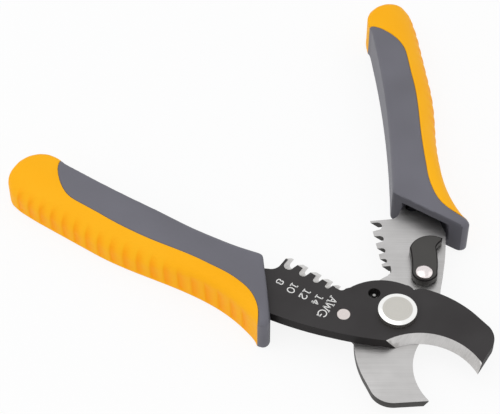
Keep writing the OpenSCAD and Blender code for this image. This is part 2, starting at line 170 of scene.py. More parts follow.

# %% [markdown]
# The upper blade and the latch are hardened steel with a black oxide finish. It is a thin conversion layer,
# so the grinding marks under it still show as a faint grain, and it looks dark, satin and slightly warm.
# The grain is a noise stretched along the blade: 0.2 mm across and about 3 mm long. A noise's scale counts
# its grains per metre, so the slow cloud in the colour, at 60, is 17 mm wide. The tumbled, rounded edges get
# a darker and duller copy of the finish, which is painted shade. Just below the rounded edge, a thin lighter
# line is a painted highlight, and the upright walls get a darker copy, which is painted shade as well.

# %% Black oxide steel
GRAINS_ALONG, GRAINS_ACROSS = 320, 5000


def black_oxide(name, base, light, roughness, shine=0.5):
    """Dark oxide with a fine grain under it; shine is the specular level."""
    made, tree, shader, place = new_material(name, roughness)
    shader.inputs["Specular IOR Level"].default_value = shine
    grain_place = add_node(tree, "ShaderNodeMapping", links={"Vector": place},
                           values={"Scale": (GRAINS_ALONG, GRAINS_ACROSS, GRAINS_ACROSS)})
    grain = add_node(tree, "ShaderNodeTexNoise", values={"Scale": 1.0, "Detail": 3.0},
                     links={"Vector": grain_place.outputs["Vector"]})
    cloud = add_node(tree, "ShaderNodeTexNoise", values={"Scale": 60.0, "Detail": 2.0},
                     links={"Vector": place})
    tree.links.new(ramp(tree, cloud.outputs["Fac"], base, light), shader.inputs["Base Color"])
    tree.links.new(spread(tree, grain.outputs["Fac"], roughness - 0.07, roughness + 0.09),
                   shader.inputs["Roughness"])
    relief(tree, shader, grain.outputs["Fac"], 0.01)
    return made


oxide = black_oxide("black_oxide_ground_steel", "#231F1F", "#2D2A2A", roughness=0.42, shine=0.36)
# Painted shade: a darker, duller copy of the oxide for the rounded edges.
oxide_shaded_edge = black_oxide("black_oxide_painted_shade_edge", "#120F10", "#1A1717", roughness=0.35, shine=0.1)
# Painted shade: a darker copy of the oxide for the upright walls.
oxide_shaded_wall = black_oxide("black_oxide_painted_shade_wall", "#1B1919", "#252222", roughness=0.5, shine=0.15)
# Painted highlight: a lighter copy of the oxide for the thin line below the rounded edge.
oxide_highlight_line = black_oxide("black_oxide_painted_highlight_line", "#4C4846", "#5C5855", roughness=0.35)
oxide_lever = black_oxide("black_oxide_pressed_lever", "#32302E", "#3A3835", roughness=0.4, shine=0.45)
print("Oxide grain:", 1000 / GRAINS_ALONG, "by", 1000 / GRAINS_ACROSS, "mm")

# %% [markdown]
# The lower blade and the cutting bevels are bare steel from a surface grinder. The wheel leaves straight
# lines, and they spread the reflection across them. The lines are 0.3 mm apart and 25 mm long, drawn a
# little coarser than real ones so that they show. Mapping turns the place first and then divides it by the
# size of one line, which is what its Texture type does.

# %% Surface-ground steel
LINE_SIZE = (25 * MM, 0.3 * MM, 2.5 * MM)


def ground_steel(name, angle, low, high, roughness):
    """Bare steel whose grinding lines run at the angle, in degrees from the X axis."""
    made, tree, shader, place = new_material(name, roughness, metallic=1.0)
    lines_place = add_node(tree, "ShaderNodeMapping", {"vector_type": "TEXTURE"},
                           {"Rotation": (0, 0, math.radians(angle)), "Scale": LINE_SIZE},
                           {"Vector": place})
    lines = add_node(tree, "ShaderNodeTexNoise", values={"Scale": 1.0, "Detail": 4.0},
                     links={"Vector": lines_place.outputs["Vector"]})
    patch = add_node(tree, "ShaderNodeTexNoise", values={"Scale": 90.0, "Detail": 2.0},
                     links={"Vector": place})
    mixed = add_node(tree, "ShaderNodeMath", {"operation": "ADD"},
                     links={0: lines.outputs["Fac"], 1: patch.outputs["Fac"]})
    half = add_node(tree, "ShaderNodeMath", {"operation": "MULTIPLY"}, {1: 0.5},
                    {0: mixed.outputs["Value"]})
    tree.links.new(ramp(tree, half.outputs["Value"], low, high), shader.inputs["Base Color"])
    tree.links.new(spread(tree, lines.outputs["Fac"], roughness - 0.06, roughness + 0.1),
                   shader.inputs["Roughness"])
    relief(tree, shader, lines.outputs["Fac"], 0.012)
    return made


plate_steel = ground_steel("surface_ground_tool_steel", 34, "#AFADAB", "#C8C6C4", 0.34)
bevel_steel = ground_steel("ground_cutting_bevel", 80, "#BDBBB9", "#D8D6D4", 0.3)
sheared_steel = ground_steel("punched_steel_edge", 0, "#434241", "#585655", 0.5)
print("Grinding lines:", [round(size / MM, 2) for size in LINE_SIZE], "mm")

# %% [markdown]
# The pivot bolt, the pins and the rivets are turned on a lathe, so their faces carry fine rings round the
# axis. The rings are a noise read along the distance from the axis, which Mapping moves to each pin.

# %% Turned steel
def turned_steel(name, centre, low, high, roughness, pitch_mm=0.25):
    """Bright steel with rings round an upright axis at the centre."""
    made, tree, shader, place = new_material(name, roughness, metallic=1.0)
    shift = add_node(tree, "ShaderNodeMapping", values={"Location": (-centre[0] * MM, -centre[1] * MM, 0)},
                     links={"Vector": place})
    flat = add_node(tree, "ShaderNodeVectorMath", {"operation": "MULTIPLY"}, {1: (1, 1, 0)},
                    {0: shift.outputs["Vector"]})
    radius = add_node(tree, "ShaderNodeVectorMath", {"operation": "LENGTH"},
                      links={0: flat.outputs["Vector"]})
    rings = add_node(tree, "ShaderNodeTexNoise", {"noise_dimensions": "1D"},
                     {"Scale": 1 / (pitch_mm * MM), "Detail": 2.0}, {"W": radius.outputs["Value"]})
    tree.links.new(ramp(tree, rings.outputs["Fac"], low, high), shader.inputs["Base Color"])
    tree.links.new(spread(tree, rings.outputs["Fac"], roughness - 0.05, roughness + 0.08),
                   shader.inputs["Roughness"])
    relief(tree, shader, rings.outputs["Fac"], 0.004)
    return made


STOP_AT = (-15.4, -11.3)
LATCH_AT = (-1.512, 21.386)
bolt_steel = turned_steel("turned_pivot_bolt_steel", (0, 0), "#BFBCB4", "#CDCAC3", 0.3)
polish_and_highlight_steel = turned_steel("polished_bolt_rim_with_painted_highlight", (0, 0), "#F4F3EF", "#FCFBF8", 0.14)
pin_steel = turned_steel("turned_stop_pin_steel", STOP_AT, "#CFC6C2", "#DDD4D0", 0.36)
rivet_steel = turned_steel("polished_rivet_steel", LATCH_AT, "#E2D9D7", "#EDE5E3", 0.14)
wire_steel = turned_steel("drawn_spring_wire", (0, 0), "#8E8D8B", "#A8A7A4", 0.28, pitch_mm=0.6)
print("Pins at", STOP_AT, "and", LATCH_AT)

# %% [markdown]
# The grey handle body is glass-filled polyamide from a spark-eroded mould, which gives it a fine matt skin.
# The skin is a noise with 0.3 mm grains, and a slow cloud shifts the colour a little, as real mouldings do.
# Such a skin breaks up its own shine, so the specular level lies below a polished plastic's. The front face
# round the mouth is cut off flat in the mould; it and the mouth's walls get a darker, duller copy: painted
# shade.

# %% Moulded plastics
def moulded(name, low, high, roughness, grain_mm, depth_mm, shine):
    """A plastic with a grained skin; shine is the specular level."""
    made, tree, shader, place = new_material(name, roughness)
    shader.inputs["Specular IOR Level"].default_value = shine
    grain = add_node(tree, "ShaderNodeTexNoise", values={"Scale": 1 / (grain_mm * MM), "Detail": 2.0},
                     links={"Vector": place})
    cloud = add_node(tree, "ShaderNodeTexNoise", values={"Scale": 45.0, "Detail": 1.0},
                     links={"Vector": place})
    tree.links.new(spread(tree, grain.outputs["Fac"], roughness - 0.06, roughness + 0.08),
                   shader.inputs["Roughness"])
    relief(tree, shader, grain.outputs["Fac"], depth_mm)
    tree.links.new(ramp(tree, cloud.outputs["Fac"], low, high), shader.inputs["Base Color"])
    return made


body_plastic = moulded("spark_textured_polyamide", "#64636A", "#6C6B73",
                       roughness=0.5, grain_mm=0.3, depth_mm=0.02, shine=0.35)
shaded_face_plastic = moulded("polyamide_front_face_painted_shade", "#515056", "#5B5A60",
                       roughness=0.6, grain_mm=0.3, depth_mm=0.02, shine=0.2)
print("Made", body_plastic.name, "and", shaded_face_plastic.name)

# %% [markdown]
# The jacket is thermoplastic rubber, moulded over the body in a second shot. It is smooth and satin. The
# grooves are painted a deeper orange, as painted shade: an attribute, which the grooves write later, mixes
# in that deeper colour. The white ink of the gauge numbers is made the same way.

# %% Overmoulded jacket and printed ink
jacket_rubber = moulded("satin_thermoplastic_rubber", "#FFB20C", "#FFB716",
                        roughness=0.5, grain_mm=0.5, depth_mm=0.012, shine=0.12)
tree = jacket_rubber.node_tree
base_colour = tree.nodes["Principled BSDF"].inputs["Base Color"]
# Painted shade: the grooves' depth mixes the colour towards a deeper orange.
hollow = add_node(tree, "ShaderNodeAttribute", {"attribute_name": "hollow"})
groove_shaded = add_node(tree, "ShaderNodeMix", {"data_type": "RGBA"},
                    links={"Factor": hollow.outputs["Fac"], "A": base_colour.links[0].from_socket})
groove_shaded.inputs["B"].default_value = linear("#FFA302")
tree.links.new(groove_shaded.outputs["Result"], base_colour)
mark_paint = moulded("screen_printed_white_ink", "#E4E3E0", "#ECEBE8",
                     roughness=0.5, grain_mm=0.4, depth_mm=0.01, shine=0.3)
print("Materials:", len(bpy.data.materials))

# %% [markdown]
# ## Lofting
# The handles, the bolt and the pins are all made in one way: a circle is the first ring, and every further
# ring is an extrusion that is put in its place. Each corner keeps its number through the extrusion, in an
# integer layer, so the rings can never twist. The two open ends are filled at last.

# %% Loft a piece from rings
def set_ring(piece, ring):
    """Moves the newest corners to the ring's points, which are in millimetres."""
    bm = bmesh.from_edit_mesh(piece.data)
    bm.verts.ensure_lookup_table()
    number = bm.verts.layers.int.get("corner")
    for vert in bm.verts[-len(ring):]:
        vert.co = Vector(ring[vert[number]]) * MM
    bmesh.update_edit_mesh(piece.data)


def loft(name, rings):
    """Extrudes a circle from ring to ring and fills both ends."""
    deselect()
    bpy.ops.mesh.primitive_circle_add(vertices=len(rings[0]), radius=10 * MM)
    piece = bpy.context.object
    piece.name = piece.data.name = name
    bpy.ops.object.mode_set(mode="EDIT")
    bm = bmesh.from_edit_mesh(piece.data)
    number = bm.verts.layers.int.new("corner")
    for i, vert in enumerate(bm.verts):
        vert[number] = i
    set_ring(piece, rings[0])
    bpy.ops.mesh.edge_face_add()
    bpy.ops.mesh.select_mode(type="EDGE")
    for ring in rings[1:]:
        bpy.ops.mesh.extrude_edges_move()
        set_ring(piece, ring)
    bpy.ops.mesh.edge_face_add()
    bpy.ops.mesh.select_mode(type="VERT")
    bpy.ops.mesh.select_all(action="SELECT")
    bpy.ops.mesh.remove_doubles(threshold=0.002 * MM)
    bpy.ops.mesh.normals_make_consistent(inside=False)
    bpy.ops.object.mode_set(mode="OBJECT")
    piece.data.attributes.remove(piece.data.attributes["corner"])
    return piece


def circle_ring(radius, z, centre=(0, 0), sides=96):
    """One round ring, in millimetres."""
    return [(centre[0] + radius * math.cos(2 * math.pi * i / sides),
             centre[1] + radius * math.sin(2 * math.pi * i / sides), z) for i in range(sides)]


print("A round ring has", len(circle_ring(1, 0)), "corners")

# %% [markdown]
# ## Handle outline
# Seen from above, a handle is a smooth outline, and a seam divides it into the grey body and the coloured
# jacket. Both are drawn closed, on the +Y side, with the distance behind the pivot as d. A corner of the
# rough outline becomes round by averaging its close neighbours, like a sanding block would.
# The inner side leaves the front corner and bends out into the grip. The outer side is narrowest at the
# waist, 62 mm behind the pivot, and widens to the flange before it and to the grip behind it. The seam keeps
# the width of the top band from the outer side, and curls inwards on the last 17 mm before the tail.

# %% Plan curves
CORNER_D, CORNER_IN, CORNER_RUN, GRIP_INNER = 53.0, 5.9, 76.5, 12.8
WAIST_D, WAIST_Y = 62.0, 27.6
FLANGE_OUT, FLANGE_RUN = 6.4, 27.5
GRIP_OUT, GRIP_RUN = 4.9, 50.0
BAND_D = [47, 57, 66, 74, 87, 100, 114]
BAND_WIDTH = [6.1, 6.2, 5.8, 6.0, 6.7, 7.3, 7.8]
CURL_END, CURL_RUN, CURL_IN = 143, 17, 12


def inner_y(d):
    """The inner side of the handle, at a distance d behind the pivot."""
    return GRIP_INNER - CORNER_IN * max(0.0, 1 - (d - CORNER_D) / CORNER_RUN) ** 2


def outer_y(d):
    """The outer side of the handle."""
    if d < WAIST_D:
        return WAIST_Y + FLANGE_OUT * ((WAIST_D - d) / FLANGE_RUN) ** 2
    return WAIST_Y + GRIP_OUT * (1 - math.cos(math.pi * min(1.0, (d - WAIST_D) / GRIP_RUN))) / 2


def seam_y(d):
    """The seam between body and jacket."""
    curl = CURL_IN * max(0.0, 1 - (CURL_END - d) / CURL_RUN) ** 2
    return outer_y(d) - np.interp(d, BAND_D, BAND_WIDTH) - curl


print("Waist:", round(outer_y(WAIST_D) - inner_y(WAIST_D), 1), "mm wide, grip:",
      round(outer_y(120) - inner_y(120), 1), "mm")

# %% [markdown]
# The rough outline is the round nose of the flange, the outer side, the tail and the inner side. It gets a
# point every 0.2 mm, so an average over 5 neighbours on each side rounds a corner over about 1 mm.

# %% The outline
STEP = 0.2
OUTLINE_SAND, SEAM_SAND, EDGE_SAND = 5, 8, 22
NOSE_X, NOSE_Y, NOSE_R = -36.8, 30.65, 2.6


def spaced(points, step):
    """The same curve with evenly spaced points."""
    points = np.array(points, float)
    length = np.concatenate([[0], np.cumsum(np.linalg.norm(np.diff(points, axis=0), axis=1))])
    count = max(2, int(round(length[-1] / step)) + 1)
    at = np.linspace(0, length[-1], count)
    return np.column_stack([np.interp(at, length, points[:, 0]), np.interp(at, length, points[:, 1])])


def sanded(points, reach, closed):
    """Averages each point with its neighbours, twice, so that corners become round."""
    for _ in range(2):
        if closed:
            padded = np.concatenate([points[-reach:], points, points[:reach]])
        else:
            padded = np.concatenate([np.repeat(points[:1], reach, 0), points,
                                     np.repeat(points[-1:], reach, 0)])
        total = np.cumsum(np.vstack([0 * padded[:1], padded]), axis=0)
        points = (total[2 * reach + 1:] - total[:-2 * reach - 1]) / (2 * reach + 1)
    return points


tail = [(-147.3, 32.2), (-152.1, 31.1), (-155.2, 28.6), (-155.9, 25.8), (-155.2, 21), (-153.5, 17),
        (-150.7, 13.8), (-147.5, 12.2), (-143.6, 11.9)]
nose = [(NOSE_X + NOSE_R * math.cos(math.radians(a)), NOSE_Y + NOSE_R * math.sin(math.radians(a)))
        for a in range(-38, 113, 10)]
rough = nose[5:] + [(-d, outer_y(d)) for d in np.arange(40, 141, 1)] + tail
rough += [(-d, inner_y(d)) for d in np.arange(139, CORNER_D + 0.4, -1)]
rough += [(-CORNER_D, inner_y(CORNER_D))] + nose[:5]
outline = sanded(spaced(rough, STEP)[:-1], OUTLINE_SAND, True)
print("Outline:", len(outline), "points,", round(len(outline) * STEP), "mm round")

# %% [markdown]
# The seam starts on the outer side, just behind the flange's nose, runs along the front lip, turns, follows
# the outer side at the width of the top band, and curls down to the inner side before the tail. It is drawn
# a little past the outline at both ends, and what lies outside is left off.

# %% The seam
lip = [(-36.2, 36.5), (-37.6, 33.0), (-39.5, 29.7), (-41.4, 27.5), (-43.5, 25.8), (-46.2, 24.0)]
raw_seam = lip + [(-d, seam_y(d)) for d in np.arange(49.5, 141.2, 1)] + [(-141.8, 13), (-141.9, 9.5)]
seam_all = sanded(spaced(raw_seam, STEP), SEAM_SAND, False)


def inside(points, polygon):
    """Which points lie inside a closed outline, by counting crossings."""
    x, y = points[:, 0][:, None], points[:, 1][:, None]
    x0, y0 = polygon[:, 0][None], polygon[:, 1][None]
    x1, y1 = np.roll(polygon[:, 0], -1)[None], np.roll(polygon[:, 1], -1)[None]
    spans = (y0 > y) != (y1 > y)
    rise = np.where(y1 == y0, 1, y1 - y0)
    return (spans & (x < (x1 - x0) * (y - y0) / rise + x0)).sum(1) % 2 == 1


seam = seam_all[inside(seam_all, outline)]
start_i = int(np.argmin(np.linalg.norm(outline - seam[0], axis=1)))
end_i = int(np.argmin(np.linalg.norm(outline - seam[-1], axis=1)))
seam = np.vstack([outline[start_i], seam, outline[end_i]])
print("Seam from", outline[start_i].round(1), "to", outline[end_i].round(1))

# %% [markdown]
# The upper edge of a handle is a quarter ellipse. Its reach is how far it runs inwards and its drop is how
# far it falls, and both change round the handle: crisp along the front, a small round at the waist, and a
# broad crown along the grip that fills the palm. Every point of the outline lowers the skin round it by its
# own ellipse, and the deepest of them counts, so that crowns of different sizes flow into each other.
# Each change is written with climb, from where it starts and over which run: the crown grows from 64 mm
# behind the pivot over 28 mm, and the flange's edge from 35 mm over 8 mm.

# %% Edge shape and height
OUTER_SIDE = 20
TAIL_END = 148
FACE_FROM = np.array([-CORNER_D, inner_y(CORNER_D)])
FACE_SLOPE = np.array([0.624, 0.782])
FACE_LENGTH = 29.5


def climb(value, start, run):
    """0 up to the start, then evenly up to 1 over the run."""
    return np.clip((value - start) / run, 0, 1)


def edge_shape(x, y):
    """Reach and drop of the upper edge, and radius of the lower edge, at points of the outline."""
    d = -x
    crown = climb(d, 64, 28)
    crown = crown * crown * (3 - 2 * crown)
    flange = climb(d, 35, 8)
    outer_reach = 3.0 + 1.6 * flange + 8.9 * crown
    outer_drop = 3.8 + 0.8 * flange + 5.4 * crown
    inner_r = 1.1 + 1.9 * climb(d, 53.5, 8) - 1.8 * climb(d, 82, 14)
    outer = np.where(d > TAIL_END, climb(y, OUTER_SIDE, 11) ** 2, y > 22 - 0.05 * (d - 60))
    tail_r = climb(d, 138, 10)
    reach = outer * outer_reach + (1 - outer) * (inner_r + 1.0 * tail_r)
    drop = outer * outer_drop + (1 - outer) * (inner_r + 0.6 * tail_r)
    return reach, drop, 0.8 + 0.4 * tail_r


def on_front(points):
    """True on the flat front face, which runs from the inner corner to the flange."""
    x, y = (points - FACE_FROM).T
    along = x * FACE_SLOPE[0] + y * FACE_SLOPE[1]
    off = abs(x * FACE_SLOPE[1] - y * FACE_SLOPE[0])
    return (off < 1.0) & (along > -1.5) & (along < FACE_LENGTH)


reach, drop, foot_r = edge_shape(outline[:, 0], outline[:, 1])
front = on_front(outline)
front_r = 1.3 + 2.0 * climb(outline[:, 1], 23, 7)
shape = np.column_stack([np.where(front, front_r, reach), np.where(front, front_r, drop), foot_r])
reach, drop, foot_r = sanded(shape, EDGE_SAND, True).T


def skin_height(points):
    """Height of the skin above the middle plane at plan points."""
    heights = []
    for point in points:
        away = np.linalg.norm(outline - point, axis=1)
        inward = np.clip(1 - away / reach, 0, 1)
        heights.append(HALF_T - np.max(drop * (1 - np.sqrt(1 - inward ** 2))))
    return np.array(heights)


print("Reach of the edge:", round(reach.min(), 1), "to", round(reach.max(), 1), "mm, drop:",
      round(drop.min(), 1), "to", round(drop.max(), 1), "mm")

# %% [markdown]
# A ring of the loft crosses the band from the seam to the outline, turns down the side wall and comes back
# below. Its ends are matched at a few listed places, so that the rings fan evenly round the tail and the
# flange, and they are spread evenly between those places.

# %% Pair the seam with the outline
def unit(v):
    """The same directions with length 1."""
    return v / np.linalg.norm(v, axis=-1, keepdims=True)


def nearest(curve, x, y):
    """The number of the curve's point that lies nearest to a place."""
    return int(np.argmin(np.linalg.norm(curve - np.array([x, y]), axis=1)))


def paired(pairs, gap):
    """Positions on the seam and on an edge curve, spread evenly between matched places."""
    seam_at, edge_at = [], []
    for (s0, e0), (s1, e1) in zip(pairs, pairs[1:]):
        count = max(2, int(math.ceil(max(s1 - s0, e1 - e0) * STEP / gap)))
        seam_at += list(np.linspace(s0, s1, count, endpoint=False))
        edge_at += list(np.linspace(e0, e1, count, endpoint=False))
    seam_at.append(pairs[-1][0])
    edge_at.append(pairs[-1][1])
    return np.array(seam_at), np.array(edge_at)


def sample(curve, at):
    """Points and unit tangents of a curve at fractional positions."""
    index = np.arange(len(curve))
    slope = np.gradient(curve, axis=0)
    point = np.column_stack([np.interp(at, index, curve[:, k]) for k in (0, 1)])
    tangent = unit(np.column_stack([np.interp(at, index, slope[:, k]) for k in (0, 1)]))
    return point, tangent


outer_edge = outline[start_i:end_i + 1]
inner_edge = np.concatenate([outline[:start_i + 1][::-1], outline[end_i:][::-1]])
print("Outer edge:", round(len(outer_edge) * STEP), "mm, inner edge:", round(len(inner_edge) * STEP), "mm")

# %% [markdown]
# The grooves of the grip are moulded into the side of the jacket, 5.3 mm apart at the tail and 5.9 mm at the
# front. Each one drops steeply on its tail side and fades towards the jaws. They are only 0.3 mm deep, but
# geometry all the same, because a thumb slides over them and the light draws their edges. They run from the
# foot of the wall, 7.4 mm below the middle, and fade out 5.5 mm above it.

# %% Groove depth
GROOVE_FIRST = 148.6
GROOVE_PITCH = 5.33
GROOVE_GROWTH = 0.0165
GROOVE_COUNT = 19
GROOVE_DEPTH = 0.3
GROOVE_LEAN = 0.05
GROOVE_FOOT, GROOVE_TOP = -7.4, 5.5


def groove_depth(d, z):
    """Depth of the grooves at a distance d behind the pivot and a height z above the middle."""
    ahead = GROOVE_FIRST - d + GROOVE_LEAN * z
    if ahead < 0:
        return 0.0
    run = (math.sqrt(GROOVE_PITCH ** 2 + 4 * GROOVE_GROWTH * ahead) - GROOVE_PITCH) / (2 * GROOVE_GROWTH)
    if run > GROOVE_COUNT:
        return 0.0
    phase = run - math.floor(run)
    steep, fade = 0.14, 0.7
    if phase < steep:
        shape = 0.5 - 0.5 * math.cos(math.pi * phase / steep)
    elif phase < steep + fade:
        shape = 0.5 + 0.5 * math.cos(math.pi * (phase - steep) / fade)
    else:
        shape = 0.0
    top = min(1.0, max(0.0, (GROOVE_TOP - z) / GROOVE_TOP))
    bottom = min(1.0, max(0.0, (z - GROOVE_FOOT) / 1.4))
    return GROOVE_DEPTH * shape * top * top * (3 - 2 * top) * bottom


print("Deepest groove:", round(max(groove_depth(90 + 0.1 * i, 0) for i in range(60)), 2), "mm")

# %% [markdown]
# The jacket and the body use one ring, with small differences. The body's skin dips by 0.15 mm beside the
# seam and the jacket's edge is rounded, which draws the thin dark line between them. Under the skin the ring
# closes along a lining: the jacket is a shell 2.4 mm thick, and the body fills it with a core, so the tang
# of the blade always lies in the hard plastic, as in real two-shot mouldings. Where the band is narrow, the
# shell thins with it, to keep the lining under the skin.

# %% The lining of a ring
SHELL = 2.4


def lining(s, e, zs, low, gap):
    """The hidden side of a ring, from the lower seam round the core and back to the upper seam."""
    wide = np.linalg.norm(e - s)
    thick = min(SHELL, 0.3 + 0.5 * wide) + gap
    core = e + (s - e) * min(1.0, (min(SHELL, 0.6 * wide) + gap) / max(wide, 1e-9))
    core_z = min(zs - thick, skin_height([core])[0] - 0.6 * thick)
    return [(*s, low + thick), (*core, low + thick), (*core, core_z), (*s, zs - thick)]


print("Shell:", SHELL, "mm thick")

# %% [markdown]
# One function draws the rings of both mouldings. In each ring s is the point on the seam and e the one on
# the outline. The ring starts with the small round at the seam, goes over the skin in a flat and a curved
# part, down the wall, round the foot and back below, and the lining closes it.

# %% Rings across a band
SEAM_ROUND = 0.28
SEAM_DIP_RUN = 1.5
CORE_GAP = 0.1


def band_rings(edge, pairs, gap, side, lower, flat_n, round_n, wall_n, shape_wall):
    """Rings of a solid between the seam and an edge; side is +1 left of the seam and -1 right of it."""
    seam_at, edge_at = paired(pairs, gap)
    seam_p, seam_t = sample(seam, seam_at)
    edge_p, edge_t = sample(edge, edge_at)
    seam_n = side * np.column_stack([-seam_t[:, 1], seam_t[:, 0]])
    edge_n = -side * np.column_stack([-edge_t[:, 1], edge_t[:, 0]])
    core_at = np.interp(seam_at, [a for a, b in jacket_pairs], [b for a, b in jacket_pairs])
    core_p = sample(outer_edge, core_at)[0]
    seam_z = skin_height(seam_p) - lower
    low = lower - HALF_T
    rings = []
    for k in range(len(seam_p)):
        s, e, zs = seam_p[k], edge_p[k], seam_z[k]
        i = int(np.argmin(np.linalg.norm(outline - e, axis=1)))
        wide = np.linalg.norm(s - e)
        soft = min(SEAM_ROUND, 0.25 * wide)
        first = s + seam_n[k] * soft
        r = wide - soft if side < 0 else min(reach[i], 0.6 * wide)
        last = e + (first - e) * min(1.0, r / max(wide - soft, 0.01))
        flat = [first + (last - first) * j / flat_n for j in range(flat_n)]
        bend = [e + (last - e) * (1 - math.sin(math.pi / 2 * j / round_n)) for j in range(round_n)]
        plan = np.array(flat + bend)
        z = skin_height(plan) - lower * climb(np.linalg.norm(plan - e, axis=1), 0, SEAM_DIP_RUN)
        top = [(*s, zs - 1.1 * soft), (*(s + seam_n[k] * 0.3 * soft), zs - 0.3 * soft)]
        top += [(*p, h) for p, h in zip(plan, z)]
        foot = min(foot_r[i], 0.6 * wide)
        high = HALF_T - drop[i]
        wall = [(*e, high + (foot - HALF_T - high) * j / wall_n) for j in range(wall_n + 1)]
        under = [(*(e + edge_n[k] * foot * (1 - math.cos(t))), foot * (1 - math.sin(t)) - HALF_T)
                 for t in (0.4, 0.8, 1.2)]
        under += [(*(e + edge_n[k] * foot), -HALF_T), (*(s + seam_n[k] * soft), low),
                  (*(s + seam_n[k] * 0.3 * soft), low + 0.3 * soft), (*s, low + 1.1 * soft)]
        ring = [shape_wall(np.array(p), edge_n[k], e) for p in top + wall + under]
        hidden = lining(s, e, zs, low, 0) if side < 0 else lining(s, core_p[k], zs, low, CORE_GAP)
        rings.append(ring + hidden)
    return rings


def grooved(point, inward, edge_point):
    """Presses the grooves into the outer side of the jacket."""
    if edge_point[1] < OUTER_SIDE:
        return tuple(point)
    near = max(0.0, 1 - np.linalg.norm(point[:2] - edge_point) / 6.5)
    depth = groove_depth(-edge_point[0], point[2]) * min(1.0, 2 * near)
    return (point[0] + inward[0] * depth, point[1] + inward[1] * depth, point[2])


at_turn = nearest(seam, -49, seam_y(49))
at_curl = nearest(seam, -122, seam_y(122))
jacket_pairs = [
    (0, 0),
    (nearest(seam, -44, 25.3), nearest(outer_edge, -43, outer_y(43))),
    (at_turn, nearest(outer_edge, -49, outer_y(49))),
    (at_curl, nearest(outer_edge, -122, outer_y(122))),
    (nearest(seam, -138, seam_y(138)), nearest(outer_edge, -156, 23)),
    (len(seam) - 1, len(outer_edge) - 1),
]
jacket_rings = band_rings(outer_edge, jacket_pairs, gap=0.4, side=-1, lower=0.0,
                          flat_n=1, round_n=11, wall_n=12, shape_wall=grooved)
jacket = loft("right_grip_jacket_skin", jacket_rings)
print("Jacket rings:", len(jacket_rings), "of", len(jacket_rings[0]), "corners")

# %% [markdown]
# The grooves' depth is kept in an attribute, which the jacket's colour reads as painted shade in the grooves.

# %% Colour attribute of the jacket
def write_hollow(piece):
    """Writes how deep each corner lies in a groove, from 0 to 1, for the painted shade in the grooves."""
    layer = piece.data.attributes.new("hollow", "FLOAT", "POINT")
    depth = []
    for vert in piece.data.vertices:
        x, y, z = vert.co / MM
        near = np.min(np.linalg.norm(outer_edge - np.array([x, y]), axis=1))
        in_grooves = y > OUTER_SIDE and near < 4
        depth.append(min(1.0, groove_depth(-x, z) / GROOVE_DEPTH) if in_grooves else 0.0)
    layer.data.foreach_set("value", depth)
    print("Corners in the grooves:", sum(value > 0 for value in depth), "of", len(depth))


write_hollow(jacket)
jacket.data.materials.append(jacket_rubber)

# %% [markdown]
# The body's ring is the same, lowered by 0.15 mm, with a faint parting line round its wall where the two
# halves of the mould met.

# %% The grey body
SEAM_DIP = 0.15
PARTING_DEPTH = 0.12


def parted(point, inward, edge_point):
    """A shallow parting line at the middle of the wall."""
    if abs(point[2]) < 0.01 and np.linalg.norm(point[:2] - edge_point) < 0.01:
        return (point[0] + inward[0] * PARTING_DEPTH, point[1] + inward[1] * PARTING_DEPTH, point[2])
    return tuple(point)


body_pairs = [
    (0, 0),
    (nearest(seam, -38.6, 32.6), nearest(inner_edge, -34.8, 30.2)),
    (nearest(seam, -44, 25.3), nearest(inner_edge, -41.2, 21.6)),
    (at_turn, nearest(inner_edge, -51.0, 9.4)),
    (nearest(seam, -53, seam_y(53)), nearest(inner_edge, -56.5, inner_y(56.5))),
    (at_curl, nearest(inner_edge, -124, inner_y(124))),
    (len(seam) - 1, len(inner_edge) - 1),
]
body_rings = band_rings(inner_edge, body_pairs, gap=0.8, side=1, lower=SEAM_DIP,
                        flat_n=8, round_n=7, wall_n=8, shape_wall=parted)
body = loft("right_handle_body_skin", body_rings)
print("Body rings:", len(body_rings), "of", len(body_rings[0]), "corners")

# %% [markdown]
# The mouth is the slot in the front face that the blade enters. Its cutter is a loft too: a rounded
# rectangle that flares at the face, so that the cut leaves a rounded rim without a separate bevel. Its far
# end comes nearer with the depth, as the tang does. After the cut, the flat front face and the walls of the
# mouth get the darker, duller plastic, which is painted shade.

# %% Cut the mouth
FACE_ALONG = unit(FACE_SLOPE)
FACE_IN = np.array([-FACE_ALONG[1], FACE_ALONG[0]])
MOUTH_NEAR, MOUTH_FAR = 4.2, 24.4
MOUTH_HALF = 4.0
MOUTH_DEPTH = 8.5
MOUTH_TAPER = 0.85
MOUTH_RIM = 0.25


def slot_ring(depth, grow):
    """A rounded rectangle parallel to the front face."""
    far = MOUTH_FAR - MOUTH_TAPER * max(0.0, depth)
    middle, half_a = (MOUTH_NEAR + far) / 2, (far - MOUTH_NEAR) / 2 + grow
    half_b, corner = MOUTH_HALF + grow, 0.5 + grow
    ring = []
    for quarter, (sa, sb) in enumerate([(1, 1), (-1, 1), (-1, -1), (1, -1)]):
        for j in range(7):
            turn = math.radians(90 * quarter + 15 * j)
            a = sa * (half_a - corner) + corner * math.cos(turn)
            b = sb * (half_b - corner) + corner * math.sin(turn)
            spot = FACE_FROM + FACE_ALONG * (middle + a) + FACE_IN * depth
            ring.append((spot[0], spot[1], b))
    return ring


